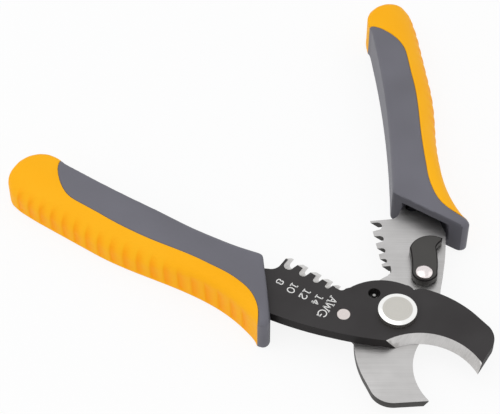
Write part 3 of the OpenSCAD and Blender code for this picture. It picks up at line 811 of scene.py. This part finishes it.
flare = [(MOUTH_RIM * (1 - math.cos(math.radians(a))), MOUTH_RIM * (1 - math.sin(math.radians(a))))
         for a in (0, 30, 60, 90)]
cutter = loft("mouth_cutter", [slot_ring(-3, MOUTH_RIM)] + [slot_ring(x, g) for x, g in flare]
              + [slot_ring(MOUTH_DEPTH, -0.1)])
pick(body)
bpy.ops.object.modifier_add(type="BOOLEAN")
body.modifiers[-1].object = cutter
body.modifiers[-1].solver = "EXACT"
bpy.ops.object.modifier_apply(modifier=body.modifiers[-1].name)
bpy.data.objects.remove(cutter)
body.data.materials.append(body_plastic)
body.data.materials.append(shaded_face_plastic)
for face in body.data.polygons:
    spot = np.array(face.center.xy) / MM - FACE_FROM
    along, deep = spot @ FACE_ALONG, spot @ FACE_IN
    faces_out = -Vector(FACE_IN).dot(face.normal.xy) > 0.8 and deep < 1.2 and along < FACE_LENGTH
    beside = MOUTH_NEAR - 0.5 < along < MOUTH_FAR + 0.5 and abs(face.center.z) < (MOUTH_HALF + 0.3) * MM
    in_mouth = beside and 0.3 < deep < MOUTH_DEPTH + 0.5
    # Painted shade: the front face and the walls of the mouth take the darker plastic.
    face.material_index = 1 if faces_out or in_mouth else 0
print("Body faces after the cut:", len(body.data.polygons))

# %% [markdown]
# The left handle is the mirror image of the right one. Each is copied with its own mesh, put in its place by
# transform operators about the pivot, and its place is applied to the mesh. Mirroring turns a mesh inside
# out, so its normals are made consistent again.

# %% Place the four mouldings
def placed(source, name, mirrored):
    """A copy of a moulding, mirrored for the fixed half or turned open for the moving half."""
    pick(source)
    bpy.ops.object.duplicate(linked=False)
    piece = bpy.context.object
    piece.name = piece.data.name = name
    if mirrored:
        bpy.ops.transform.resize(value=(1, -1, 1), center_override=(0, 0, 0))
    else:
        bpy.ops.transform.rotate(value=OPEN, orient_axis="Z", center_override=(0, 0, 0))
    bpy.ops.transform.translate(value=(0, 0, MID_Z * MM))
    bpy.ops.object.transform_apply(location=True, rotation=True, scale=True)
    bpy.ops.object.mode_set(mode="EDIT")
    bpy.ops.mesh.select_all(action="SELECT")
    bpy.ops.mesh.normals_make_consistent(inside=False)
    bpy.ops.object.mode_set(mode="OBJECT")
    smooth(piece, 42)
    return piece


left_jacket = placed(jacket, "left_grip_jacket_moulded", True)
right_jacket = placed(jacket, "right_grip_jacket_moulded", False)
left_body = placed(body, "left_handle_body_moulded", True)
right_body = placed(body, "right_handle_body_moulded", False)
for drawn in (jacket, body):
    bpy.data.objects.remove(drawn)
hang(left_jacket, "fixed_half", "amber_plastic", "left_grip_jacket")
hang(right_jacket, "moving_half", "amber_plastic", "right_grip_jacket")
hang(left_body, "fixed_half", "grey_plastic", "left_handle_body")
hang(right_body, "moving_half", "grey_plastic", "right_handle_body")

# %% [markdown]
# ## Blades
# The blades' shape is already exact in the CAD model, so each starts as a copy of that mesh. The copy's
# loose triangles are merged and its flat triangles dissolved into whole faces. Then the outer edges get the
# small round that tumbling leaves, while the cutting edges and the teeth stay crisp.

# %% Copy a CAD mesh
def cad_copy(node, name):
    """A copy of a CAD node's mesh with merged corners and whole flat faces."""
    deselect()
    piece = bpy.data.objects.new(name, nodes[node].data.copy())
    piece.data.name = name
    bpy.context.scene.collection.objects.link(piece)
    piece.data.materials.clear()
    pick(piece)
    bpy.ops.object.mode_set(mode="EDIT")
    bpy.ops.mesh.select_all(action="SELECT")
    bpy.ops.mesh.remove_doubles(threshold=0.001 * MM)
    bpy.ops.mesh.dissolve_limited(angle_limit=math.radians(0.4))
    bpy.ops.object.mode_set(mode="OBJECT")
    return piece


def bevel_edges(piece, chosen, width_mm, segments, material=-1):
    """Bevels the edges for which chosen(edge) is true."""
    pick(piece)
    bpy.ops.object.mode_set(mode="EDIT")
    bpy.ops.mesh.select_mode(type="EDGE")
    bpy.ops.mesh.select_all(action="DESELECT")
    bm = bmesh.from_edit_mesh(piece.data)
    count = 0
    for edge in bm.edges:
        if len(edge.link_faces) == 2 and chosen(edge):
            edge.select_set(True)
            count += 1
    bmesh.update_edit_mesh(piece.data)
    if count:
        bpy.ops.mesh.bevel(offset=width_mm * MM, segments=segments, clamp_overlap=True, material=material)
    bpy.ops.mesh.select_mode(type="VERT")
    bpy.ops.object.mode_set(mode="OBJECT")
    return count


def at_level(edge, z):
    """True for an edge that lies flat at the height z, in millimetres."""
    return all(abs(v.co.z - z * MM) < 0.01 * MM for v in edge.verts)


def plain_corner(edge):
    """True between a flat face and an upright wall, and false beside a ground slope."""
    lean = sorted(abs(f.normal.z) for f in edge.link_faces)
    return lean[0] < 0.1 and lean[1] > 0.98


def keep_flat(piece, degrees=35):
    """Smooth shading that leaves large flat faces flat."""
    smooth(piece, degrees)
    bpy.ops.object.modifier_add(type="WEIGHTED_NORMAL")
    piece.modifiers[-1].keep_sharp = True
    bpy.ops.object.modifier_apply(modifier=piece.modifiers[-1].name)


print("CAD triangles of the blades:",
      [len(nodes[name].data.polygons) for name in ("upper_blade", "lower_blade")])

# %% [markdown]
# A face that leans between flat and upright was ground after the blackening, as the cone of the round jaw
# is. The wheel crosses the teeth at 45 degrees, so on the upper blade every face of the toothed edge is bare
# and bright. On the lower blade the notches are punched first, and their walls stay dull. Both blades come
# from one drawing, with the teeth on the +Y side, and TO_OWN turns the open lower blade back to it.

# %% Finishes of a blade's faces
TO_OWN = Matrix.Rotation(math.pi, 3, "X") @ Matrix.Rotation(OPEN, 3, "Z")
TEETH_BACK, TEETH_FRONT, TEETH_ROOT = -46.6, -24.2, -3.3


def own_place(face, turned_open):
    """A face's centre and normal in its blade's own drawing."""
    if not turned_open:
        return face.center / MM, face.normal
    return TO_OWN @ face.center / MM, TO_OWN @ face.normal


def finish_of(face, turned_open):
    """0 for a flat face, 1 for a ground one and 2 for an upright wall."""
    centre, normal = own_place(face, turned_open)
    toothed = TEETH_BACK < centre.x < TEETH_FRONT and centre.y > TEETH_ROOT
    if abs(normal.z) > 0.95:
        return 0
    if toothed:
        return 1 if not turned_open or abs(normal.x) < 0.2 < abs(normal.z) else 2
    return 1 if abs(normal.z) > 0.2 else 2


def paint_faces(piece, turned_open):
    """Gives each face of a blade its material slot, and counts the slots."""
    for face in piece.data.polygons:
        face.material_index = finish_of(face, turned_open)
    used = [face.material_index for face in piece.data.polygons]
    print(piece.name, "has", [used.count(i) for i in range(3)], "flat, ground and upright faces")


print("Toothed edge:", round(TEETH_FRONT - TEETH_BACK, 1), "mm long")

# %% [markdown]
# The upper blade's top edge is tumbled round. The bevel gets the darker copy of the finish, painted shade,
# and its lowest strip, which already faces sideways, gets the lighter copy, a painted highlight.

# %% The upper blade
SHADE_EDGE_SLOT, HIGHLIGHT_LINE_SLOT = 3, 4

upper = cad_copy("upper_blade", "upper_blade_blackened")
for finish in (oxide, bevel_steel, oxide_shaded_wall, oxide_shaded_edge, oxide_highlight_line):
    upper.data.materials.append(finish)
# On the upper blade, slot 2 of the upright walls is the darker copy of the oxide: painted shade.
paint_faces(upper, False)
# The rounded top edges take the darker copy of the oxide: painted shade.
rounded = bevel_edges(upper, lambda e: at_level(e, UPPER_TOP) and plain_corner(e),
                      width_mm=0.55, segments=4, material=SHADE_EDGE_SLOT)
# The lowest strip of the bevel takes the lighter copy: a painted highlight.
for face in upper.data.polygons:
    if face.material_index == SHADE_EDGE_SLOT and face.normal.z < 0.3:
        face.material_index = HIGHLIGHT_LINE_SLOT
print("Rounded edges of the upper blade:", rounded)
keep_flat(upper)
hang(upper, "fixed_half", "blackened_steel", "upper_blade")

# %% [markdown]
# The real lower blade differs from the drawing in two places, so its corners there are moved. The wall beside
# the last notch is shorter, and the outer edge beside the lever lies 1 mm further in, which fades out over
# 8 mm at the back and 6 mm at the front. The tang's hole is reamed after the grinding, so its rim is a bright
# bevel. Its place is known with the jaws closed, and is turned open with the blade.

# %% The lower blade
WALL_BACK, WALL_FRONT, WALL_FOOT, WALL_TIP, WALL_SHARE = -24.4, -20.8, -3.0, -1.1, 0.38
SIDE_BACK, SIDE_FRONT, SIDE_Y = -66.0, -6.0, -17.0
TANG_HOLE = Matrix.Rotation(-OPEN, 2) @ Vector((-51.6, 14.4))
TANG_HOLE_R = 2.2


def trimmed(spot):
    """Where a corner of the lower blade's drawing goes."""
    if WALL_BACK < spot.x < WALL_FRONT and WALL_FOOT < spot.y < WALL_TIP:
        spot.y = WALL_TIP + WALL_SHARE * (spot.y - WALL_TIP)
    if SIDE_BACK < spot.x < SIDE_FRONT and spot.y < SIDE_Y:
        spot.y += min(1, (spot.x - SIDE_BACK) / 8, (SIDE_FRONT - spot.x) / 6)
    return spot


def on_tang_hole(edge):
    """True for the rim of the tang's hole on the upper side."""
    return at_level(edge, LOWER_TOP) and all(
        abs((v.co.xy - TANG_HOLE * MM).length - TANG_HOLE_R * MM) < 0.05 * MM for v in edge.verts)


lower = cad_copy("lower_blade", "lower_blade_ground")
for finish in (plate_steel, bevel_steel, sheared_steel):
    lower.data.materials.append(finish)
paint_faces(lower, True)
for vert in lower.data.vertices:
    vert.co = TO_OWN.inverted() @ trimmed(TO_OWN @ vert.co / MM) * MM
reamed = bevel_edges(lower, on_tang_hole, width_mm=0.4, segments=2, material=1)
rounded = bevel_edges(lower, lambda e: at_level(e, LOWER_TOP) and plain_corner(e), width_mm=0.15, segments=2)
print("Rounded edges of the lower blade:", rounded, "and of its tang hole:", reamed)
keep_flat(lower)
hang(lower, "moving_half", "ground_steel", "lower_blade")

# %% [markdown]
# ## Pivot and pins
# The pivot bolt is a lathe part: its profile is drawn once, as radius and height, and lofted round the axis.
# The head is tall, flat on top, with a wide and very shallow polished bevel, whose steel is smoother and far
# whiter than the head's: the smoothness is its polish, the whiter colour a painted highlight. Every corner is
# broken by a tenth of a millimetre, because a corner with no width never catches the light.

# %% The pivot bolt
RIM_Z, RIM_INNER_R = 13.9, 5.4
bolt_profile = [(2.5, 0), (3, 0.5), (3, 4.85), (4, 4.85), (4, 12), (6.85, 12), (7, 12.1), (7, 13.85),
                (6.92, 13.98), (6.8, 14.03), (5.55, 14.26), (5.4, 14.3)]
bolt = loft("pivot_bolt_turned", [circle_ring(r, z) for r, z in bolt_profile])
bolt.data.materials.append(bolt_steel)
bolt.data.materials.append(polish_and_highlight_steel)
# The rim's whiter steel is a painted highlight; its lower roughness is its polish.
for face in bolt.data.polygons:
    on_rim = face.center.z > RIM_Z * MM and face.center.xy.length > RIM_INNER_R * MM
    face.material_index = 1 if on_rim else 0
keep_flat(bolt)
hang(bolt, "fixed_half", "turned_steel", "pivot_bolt")

# %% [markdown]
# The stop pin is a plain rivet through the upper blade, flush with its top. Its foot hangs below the blade,
# where the heel of the lower one comes to rest on it.

# %% The stop pin
pin_profile = [(2.3, 5.15), (2.45, 5.3), (2.45, 11.85), (2.3, 12.0)]
pin = loft("stop_pin_riveted", [circle_ring(r, z, STOP_AT, 64) for r, z in pin_profile])
pin.data.materials.append(pin_steel)
keep_flat(pin)
hang(pin, "fixed_half", "turned_steel", "stop_pin")

# %% [markdown]
# ## Latch
# The latch is a pressed lever on a domed rivet. The lever is the CAD shape, drawn 3 % larger about its
# rivet, with soft edges above and below, as from a tumbler.

# %% The lever
LEVER_SIZE = 1.03
LEVER_TOP, LEVER_FOOT = 11.35, 8.55

lever = cad_copy("latch_lever", "latch_lever_pressed")
bpy.ops.transform.resize(value=(LEVER_SIZE, LEVER_SIZE, 1), center_override=(*(c * MM for c in LATCH_AT), 0))
bpy.ops.object.transform_apply(location=True, rotation=False, scale=True)
for finish in (oxide_lever, oxide_shaded_edge):
    lever.data.materials.append(finish)
# The lever's upper rounded edge takes the darker copy of the oxide: painted shade.
rounded = bevel_edges(lever, lambda e: at_level(e, LEVER_TOP) and plain_corner(e),
                      width_mm=0.45, segments=3, material=1)
rounded += bevel_edges(lever, lambda e: at_level(e, LEVER_FOOT) and plain_corner(e), width_mm=0.2, segments=2)
print("Rounded edges of the lever:", rounded)
keep_flat(lever)
hang(lever, "latch", "blackened_steel", "latch_lever")

# %% [markdown]
# The rivet is a lathe part too. Its head is a low dome, drawn as a quarter of an ellipse, and its foot is
# spread below the lower blade.

# %% The rivet
DOME_R, DOME_H, DOME_Z = 3.1, 1.25, 11.75
dome = [(DOME_R * math.cos(math.radians(a)), DOME_Z + DOME_H * math.sin(math.radians(a)))
        for a in range(0, 90, 9)]
rivet_profile = [(2.6, 3.6), (3.1, 4.35), (1.6, 4.35), (1.6, 11.4), (2.95, 11.4), (3.1, 11.5)] + dome
rivet = loft("latch_rivet_domed", [circle_ring(r, z, LATCH_AT, 64) for r, z in rivet_profile])
rivet.data.materials.append(rivet_steel)
smooth(rivet, 40)
hang(rivet, "moving_half", "turned_steel", "latch_rivet")

# %% [markdown]
# ## Gauge marks
# White gauge numbers stand beside the stripping notches: 8, 10, 12 and 14, and the unit AWG. They are thin
# pen strokes with small feet, as an engraving machine draws them, so each stroke is a flat bar lofted along
# its centre line. A glyph is drawn with u to its right and v up; on the blade, up is towards the jaws.

# %% Pen strokes
INK = 0.04
PEN_WIDTH = 0.4


def oval(u, v, half_u, half_v, start=0, end=360):
    """Points round an ellipse, from one angle to another."""
    steps = max(6, abs(end - start) // 20)
    angles = [math.radians(start + (end - start) * i / steps) for i in range(steps + 1)]
    return [(u + half_u * math.cos(a), v + half_v * math.sin(a)) for a in angles]


def pen_stroke(points, at, width):
    """A flat bar along a line of glyph points, a few hundredths of a millimetre above the blade."""
    line = np.array([(at[0] + v, at[1] - u) for u, v in points])
    side = unit(np.gradient(line, axis=0))[:, ::-1] * (-0.5 * width, 0.5 * width)
    low, high = UPPER_TOP, UPPER_TOP + INK
    return loft("pen_stroke", [[(*(p + n), low), (*(p - n), low), (*(p - n), high), (*(p + n), high)]
                               for p, n in zip(line, side)])


print("Pen:", PEN_WIDTH, "mm wide")

# %% [markdown]
# Each glyph is a list of strokes round its own middle, and each mark names its glyph and the place of that
# middle on the blade.

# %% Draw the numbers
GLYPHS = {
    "0": [oval(0, 0, 1.06, 1.33)],
    "1": [[(0, -1.33), (0, 1.2)], [(-0.75, -1.33), (0.75, -1.33)], [(-0.75, 1.1), (0.15, 1.1)]],
    "2": [oval(0, 0.55, 0.95, 0.8, 170, -30) + [(-0.95, -1.33)], [(-1, -1.33), (1, -1.33)],
          [(0.95, -1.45), (0.95, -0.8)]],
    "4": [[(0.4, 1.2), (-0.9, -0.5)], [(-0.9, -0.5), (1, -0.5)], [(0.4, 1.3), (0.4, -1.2)],
          [(0, -1.2), (0.85, -1.2)]],
    "8": [oval(0, -0.6, 0.92, 0.66), oval(0, 0.66, 0.82, 0.6)],
    "A": [[(-1.1, -1.55), (0, 1.55)], [(0, 1.55), (1.1, -1.55)], [(-0.7, -0.45), (0.7, -0.45)],
          [(-1.6, -1.55), (-0.6, -1.55)], [(0.6, -1.55), (1.6, -1.55)]],
    "G": [oval(0, 0, 1.55, 1.55, 45, 340), [(0.3, -0.1), (1.7, -0.1)], [(1.5, -0.1), (1.5, -1.4)]],
    "W": [[(-1.6, 1.55), (-0.85, -1.55)], [(-0.85, -1.55), (0, 1.2)], [(0, 1.2), (0.85, -1.55)],
          [(0.85, -1.55), (1.6, 1.55)], [(-2.1, 1.55), (-1.1, 1.55)], [(1.1, 1.55), (2.1, 1.55)]],
}
marks = [("8", -42.1, -12.0), ("1", -36.8, -10.6), ("0", -36.8, -12.9), ("1", -31.6, -10.35),
         ("2", -31.6, -12.65), ("1", -26.5, -10.0), ("4", -26.5, -12.4),
         ("A", -21.9, -8.3), ("W", -21.9, -11.6), ("G", -21.8, -15.35)]
strokes = [pen_stroke(points, (x, y), PEN_WIDTH) for sign, x, y in marks for points in GLYPHS[sign]]
deselect()
for stroke in strokes:
    stroke.select_set(True)
bpy.context.view_layer.objects.active = strokes[0]
bpy.ops.object.join()
gauge = bpy.context.object
gauge.name = gauge.data.name = "gauge_marks_printed"
gauge.data.materials.append(mark_paint)
print("Pen strokes:", len(strokes))
hang(gauge, "fixed_half", "turned_steel")

# %% [markdown]
# ## Finishes of the remaining CAD nodes
# The washer, the nut, the spring, the rings and the tang pins keep their CAD meshes, because their shapes are
# right. Each gets the material that the real part has.

# %% Finish the kept nodes
kept = {"pivot_washer": bolt_steel, "pivot_nut": bolt_steel, "spring_collar": bolt_steel,
        "return_spring": wire_steel, "latch_wave_washer": oxide_lever, "latch_back_washer": rivet_steel,
        "left_tang_pins": pin_steel, "right_tang_pins": pin_steel}
for name, finish in kept.items():
    nodes[name].data.materials.clear()
    nodes[name].data.materials.append(finish)
print("Kept nodes:", len(kept))

# %% [markdown]
# ## Stage, light and camera
# The photo has a white ground. The floor is plain and pale, and most of what the camera sees of it is a
# plain white, so that it stays white without extra light on the tool, while it still takes a soft shadow.
# The room is soft and evenly white too: the camera and the metal see it as plain white, and the light that
# it gives is a little less, which leaves the lamps some shape to draw.

# %% Floor and world
def seen_directly(tree):
    """1 for the camera and for reflections, and 0 for the light that falls on things."""
    rays = add_node(tree, "ShaderNodeLightPath")
    seen = add_node(tree, "ShaderNodeMath", {"operation": "MAXIMUM"},
                    links={0: rays.outputs["Is Camera Ray"], 1: rays.outputs["Is Glossy Ray"]})
    return seen.outputs["Value"]


FLOOR_WHITE = 0.88
ROOM_LIGHT = 0.78

deselect()
bpy.ops.mesh.primitive_plane_add(size=6, location=(0, 0, -0.2 * MM))
floor = bpy.context.object
floor.name = "studio_floor"
floor_paint = bpy.data.materials.new("white_studio_floor")
floor_paint.use_nodes = True
tree = floor_paint.node_tree
paint = tree.nodes["Principled BSDF"]
paint.inputs["Base Color"].default_value = linear("#F2F2F2")
paint.inputs["Roughness"].default_value = 0.9
share = add_node(tree, "ShaderNodeMath", {"operation": "MULTIPLY"},
                 {1: FLOOR_WHITE}, {0: seen_directly(tree)})
white = add_node(tree, "ShaderNodeEmission", values={"Color": (1, 1, 1, 1), "Strength": 1.0})
mix = add_node(tree, "ShaderNodeMixShader", links={
    0: share.outputs["Value"], 1: paint.outputs["BSDF"], 2: white.outputs["Emission"]})
tree.links.new(mix.outputs["Shader"], tree.nodes["Material Output"].inputs["Surface"])
floor.data.materials.append(floor_paint)
floor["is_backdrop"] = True

world = bpy.data.worlds.new("soft_room")
bpy.context.scene.world = world
world.use_nodes = True
tree = world.node_tree
background = tree.nodes["Background"]
background.inputs["Color"].default_value = linear("#FAFBFD")
tree.links.new(spread(tree, seen_directly(tree), ROOM_LIGHT, 1.0), background.inputs["Strength"])
bpy.context.scene.view_settings.view_transform = "Standard"
print("The floor is", round(floor.dimensions.x, 1), "m wide")

# %% [markdown]
# Four large area lamps stand for softboxes: the main one above and to the left, a fill from the left, and
# two weak ones from the right and the front, so that both handles are lit alike. Their places are given as
# the photographer sees them, who looks across the tool at 34.25 degrees.

# %% Lamps
TURN = math.radians(34.25)
TOOL_MIDDLE = Vector((-0.05, 0, 0))


def softbox(name, spot, size, power):
    """An area lamp that looks at the tool."""
    data = bpy.data.lights.new(name, "AREA")
    data.shape = "RECTANGLE"
    data.size, data.size_y = size, size
    data.energy = power
    lamp = bpy.data.objects.new(name, data)
    bpy.context.scene.collection.objects.link(lamp)
    aim = Vector(spot) - TOOL_MIDDLE
    lamp.matrix_world = Matrix.Translation(spot) @ aim.to_track_quat("Z", "Y").to_matrix().to_4x4()


def room(right, away, up):
    """A place in the room: to the camera's right, away from it and up, in metres."""
    x = right * math.cos(TURN) - away * math.sin(TURN)
    y = right * math.sin(TURN) + away * math.cos(TURN)
    return (x, y, up)


softbox("main_softbox", room(-0.5, 0.0, 1.0), 1.5, 3.0)
softbox("left_softbox", room(-0.9, -0.3, 0.6), 1.0, 1.1)
softbox("right_softbox", room(0.9, 0.1, 0.6), 1.0, 0.8)
softbox("front_softbox", room(0.5, -0.8, 0.7), 1.0, 0.4)

# %% [markdown]
# The camera was solved from the photo: 49.7 degrees above the tool's plane, 630 mm from the pivot, with the
# pivot at pixel (397, 319) of the 500 by 414 frame, and no roll. Its pose is written out from those numbers.

# %% Camera
FOCAL, DIST, ELEV = 1765.0, 0.6304, math.radians(49.73)
FRAME_W, FRAME_H = 500, 414
PIVOT_U, PIVOT_V = 396.57, 319.29
SENSOR = 36

right = Vector((1, 0, 0))
ahead = Vector((0, math.cos(ELEV), -math.sin(ELEV)))
above = Vector((0, math.sin(ELEV), math.cos(ELEV)))
spot = -DIST * (ahead + right * (PIVOT_U - FRAME_W / 2) / FOCAL + above * (FRAME_H / 2 - PIVOT_V) / FOCAL)
turn = Matrix.Rotation(TURN, 4, "Z")
basis = Matrix((right, above, -ahead)).transposed().to_4x4()
camera_data = bpy.data.cameras.new("photo_camera")
camera_data.sensor_width = SENSOR
camera_data.lens = FOCAL / FRAME_W * SENSOR
camera_data.clip_start = 0.01
camera = bpy.data.objects.new("photo_camera", camera_data)
bpy.context.scene.collection.objects.link(camera)
camera.matrix_world = (Matrix.Translation((0, 0, MID_Z * MM)) @ turn @ Matrix.Translation(spot) @ basis)
bpy.context.scene.camera = camera
print("Camera at", [round(c, 3) for c in camera.matrix_world.translation])

# %% [markdown]
# The boxes of the CAD model and of the dressed tool are printed side by side. The dressed
# tool must not be larger than the CAD model.

# %% Sizes of both boxes
sizes = {"cad": [list(corner) for corner in cad_box], "dressed": [list(corner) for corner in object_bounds()]}
for name, box in sizes.items():
    print(name, [round((b - a) / MM, 2) for a, b in zip(*box)])
